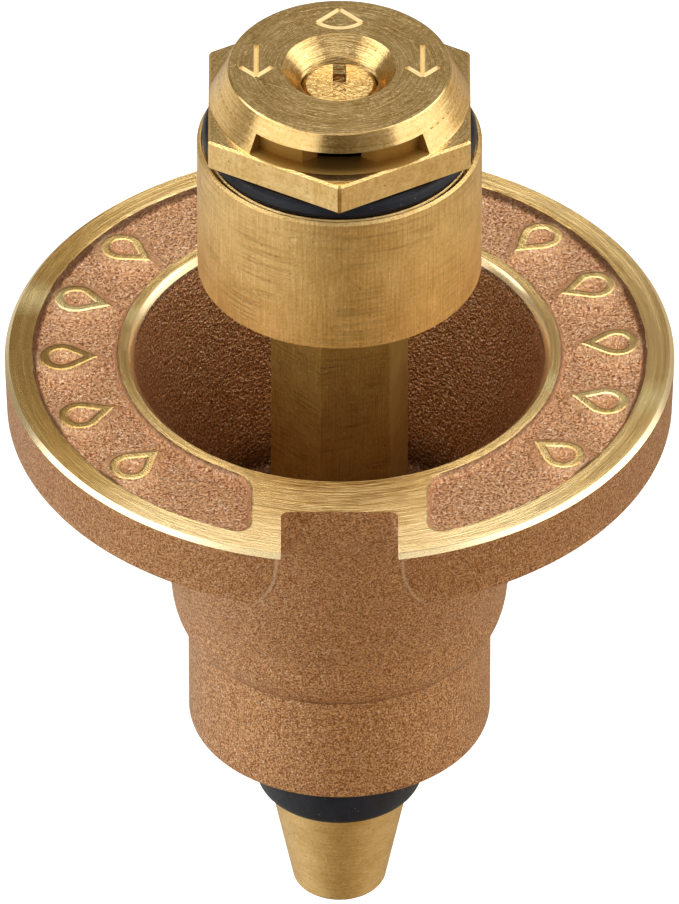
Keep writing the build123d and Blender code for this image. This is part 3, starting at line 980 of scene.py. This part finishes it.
RUBBER_LOW = srgb(10, 13, 21)
RUBBER_HIGH = srgb(19, 26, 41)
RUBBER_DUST = srgb(170, 164, 150)
RUBBER_ROUGHNESS = (0.34, 0.5)
DUST_EDGE = (0.71, 0.75)
DUST_SCALE = 4.0
FINE_SCALE = 3.0
BROAD_SCALE = 0.6
RUBBER_BUMP = 0.04


def rubber(name):
    """Blue-black rubber with a few specks of dust."""
    s = Surface(name)
    fine = s.noise(s.spot, FINE_SCALE, detail=3.0)
    broad = s.noise(s.spot, BROAD_SCALE, detail=3.0)
    dust = s.span(s.noise(s.spot, DUST_SCALE, roughness=0.7), *DUST_EDGE)
    colour = s.blend(s.span(broad, *NOISE_MIDDLE), RUBBER_LOW, RUBBER_HIGH)
    colour = s.tint(colour, RUBBER_DUST, dust, amount=0.6)
    roughness = s.span(fine, *NOISE_MIDDLE, *RUBBER_ROUGHNESS)
    return s.finish(Base_Color=colour, Roughness=roughness, Specular_IOR_Level=0.32,
                    Normal=s.bump(fine, strength=0.3, distance=RUBBER_BUMP))


# ---------------------------------------------------------------- studio

# The camera, in metres, with its lens in millimetres
AIM = Vector((0, 0, 0.0292))
ELEVATION = math.radians(38.13)
DISTANCE = 1.5
LENS = 660.5
SENSOR = 36

# The floor, in millimetres. It drops by a little more than the riser can go down.
FLOOR_R = 3000
FLOOR_CORNERS = 96
FLOOR_DROP = 33
FLOOR_GLOW = 0.42
FLOOR_TONE_SCALE = 0.02
FLOOR_LOW = (0.88, 0.88, 0.88)
FLOOR_HIGH = (0.92, 0.92, 0.92)
WHITE = (1.0, 1.0, 1.0)

# The surrounding studio: its greys from the left to the right, each as place and brightness, how warm its
# dark parts are, the green's share of that warmth, and the heights between which it goes from the lower to
# the upper greys
WORLD_ABOVE = [(0.0, 0.25), (0.2, 0.27), (0.42, 0.12), (0.58, 0.12), (0.8, 0.38), (1.0, 0.34)]
WORLD_BELOW = [(0.0, 0.8), (0.18, 0.9), (0.42, 0.27), (0.58, 0.27), (0.82, 0.65), (1.0, 0.6)]
WARMTH_ABOVE = 0.5
WARMTH_BELOW = 0.9
GREEN_SHARE = 0.45
HORIZON = (-0.15, 0.1)
WORLD_STRENGTH = 1.15


def add_camera():
    """A camera at the photo's angle, far away with a long lens."""
    data = bpy.data.cameras.new("camera")
    data.lens = LENS
    data.sensor_width = SENSOR
    data.clip_start = 0.1
    data.clip_end = 10
    camera = bpy.data.objects.new("camera", data)
    away = Vector((0, -math.cos(ELEVATION), math.sin(ELEVATION)))
    camera.location = AIM + DISTANCE * away
    camera.rotation_euler = (math.pi / 2 - ELEVATION, 0, 0)
    bpy.context.scene.collection.objects.link(camera)
    bpy.context.scene.camera = camera


def add_light(name, azimuth, elevation, size, radiance, distance=0.6, roll=0):
    """A soft rectangular light that faces the object. Azimuth 0 is the camera's side, 90 is the right."""
    data = bpy.data.lights.new(name, "AREA")
    data.shape = "RECTANGLE"
    data.size, data.size_y = size
    data.energy = radiance * math.pi * size[0] * size[1]
    light = bpy.data.objects.new(name, data)
    turn, lift = math.radians(azimuth), math.radians(elevation)
    way = Vector((math.sin(turn) * math.cos(lift), -math.cos(turn) * math.cos(lift), math.sin(lift)))
    light.location = AIM + distance * way
    light.rotation_euler = (-way).to_track_quat("-Z", "Y").to_euler()
    light.rotation_euler.rotate_axis("Z", math.radians(roll))
    bpy.context.scene.collection.objects.link(light)


def add_floor(height):
    """A wide pale floor, low enough for the riser at its lowest. Polished metal doesn't mirror it."""
    points = ring(FLOOR_R, height / MM, FLOOR_CORNERS) * MM
    floor = make_object("floor", points, [list(range(FLOOR_CORNERS))], floor_material())
    floor.visible_glossy = False


def floor_material():
    """Almost white, with a faint tone and a glow of its own."""
    s = Surface("floor")
    tone = s.noise(s.spot, FLOOR_TONE_SCALE)
    colour = s.blend(s.span(tone, *NOISE_MIDDLE), FLOOR_LOW, FLOOR_HIGH)
    return s.finish(Base_Color=colour, Roughness=0.9, Emission_Color=WHITE, Emission_Strength=FLOOR_GLOW)


def add_world():
    """A grey studio, brighter to the sides than in the middle, and brighter below than above."""
    world = bpy.data.worlds.new("studio")
    world.use_nodes = True
    tree = world.node_tree
    coordinates = tree.nodes.new("ShaderNodeTexCoord")
    split = tree.nodes.new("ShaderNodeSeparateXYZ")
    tree.links.new(coordinates.outputs["Generated"], split.inputs[0])
    across = in_range(tree, split.outputs["X"], -1, 1)
    upward = in_range(tree, split.outputs["Z"], *HORIZON)
    mix = tree.nodes.new("ShaderNodeMix")
    mix.data_type = "RGBA"
    tree.links.new(upward, mix.inputs["Factor"])
    tree.links.new(grey_ramp(tree, across, WORLD_BELOW, WARMTH_BELOW), mix.inputs[6])
    tree.links.new(grey_ramp(tree, across, WORLD_ABOVE, WARMTH_ABOVE), mix.inputs[7])
    tree.links.new(mix.outputs[2], tree.nodes["Background"].inputs["Color"])
    tree.nodes["Background"].inputs["Strength"].default_value = WORLD_STRENGTH
    bpy.context.scene.world = world


def in_range(tree, value, low, high):
    """The share of the way from low to high, clamped."""
    node = tree.nodes.new("ShaderNodeMapRange")
    tree.links.new(value, node.inputs["Value"])
    node.inputs["From Min"].default_value = low
    node.inputs["From Max"].default_value = high
    return node.outputs[0]


def grey_ramp(tree, value, levels, warm):
    """A smooth row of greys, made warmer where they are darker."""
    node = tree.nodes.new("ShaderNodeValToRGB")
    tree.links.new(value, node.inputs["Fac"])
    ramp = node.color_ramp
    ramp.interpolation = "B_SPLINE"
    while len(ramp.elements) < len(levels):
        ramp.elements.new(0.5)
    for element, (place, level) in zip(ramp.elements, levels):
        element.position = place
        warmth = warm * max(0, 1 - level)
        element.color = (level, level * (1 - GREEN_SHARE * warmth), level * (1 - warmth), 1)
    return node.outputs["Color"]


# ---------------------------------------------------------------- the scene

bpy.context.scene.view_settings.view_transform = "Standard"
add_camera()
add_world()
add_floor(cad_box[0][2] - FLOOR_DROP * MM)
add_light("front_left", azimuth=-51, elevation=17, size=(0.72, 0.36), radiance=1.2)
add_light("front_right", azimuth=86, elevation=17, size=(0.8, 0.36), radiance=1.2)
add_light("overhead", azimuth=180, elevation=74, size=(0.5, 0.5), radiance=3.3)
add_light("back", azimuth=180, elevation=42, size=(0.7, 0.4), radiance=0.15, distance=0.8)
add_light("left", azimuth=-82, elevation=35, size=(0.62, 0.13), radiance=2.8, roll=24)
add_light("right", azimuth=82, elevation=35, size=(0.62, 0.13), radiance=2.2, roll=-24)
add_light("front", azimuth=0, elevation=52, size=(0.95, 0.08), radiance=1.5)

make_body(cast_bronze())
rubber_ring("gasket_ring", "nozzle_gasket", "riser", "gasket_rubber", bulge=1.0)
rubber_ring("washer_ring", "stem_washer", "riser", "washer_rubber", bulge=0.4)
dress("spray_nozzle", machined_brass("nozzle_brass", "faced", roughness=0.2, strength=0.38))
dress("nozzle_collar", machined_brass("collar_brass", "drawn", roughness=0.4, strength=1.0))
dress("riser_stem", machined_brass("stem_brass", "drawn", roughness=0.48, strength=1.0,
                                   low=STEM_LOW, high=STEM_HIGH))
dress("inlet_ferrule", machined_brass("ferrule_brass", "turned", roughness=0.42, strength=0.6))
dress("adjusting_screw", machined_brass("screw_brass", "faced", roughness=0.3, strength=1.0,
                                        low=SCREW_LOW, high=SCREW_HIGH, dents=0.4))
dress("guide_bush", machined_brass("guide_brass", "turned", roughness=0.3, strength=0.6))
dress("strainer_basket", machined_brass("strainer_brass", "turned", roughness=0.3, strength=0.6))
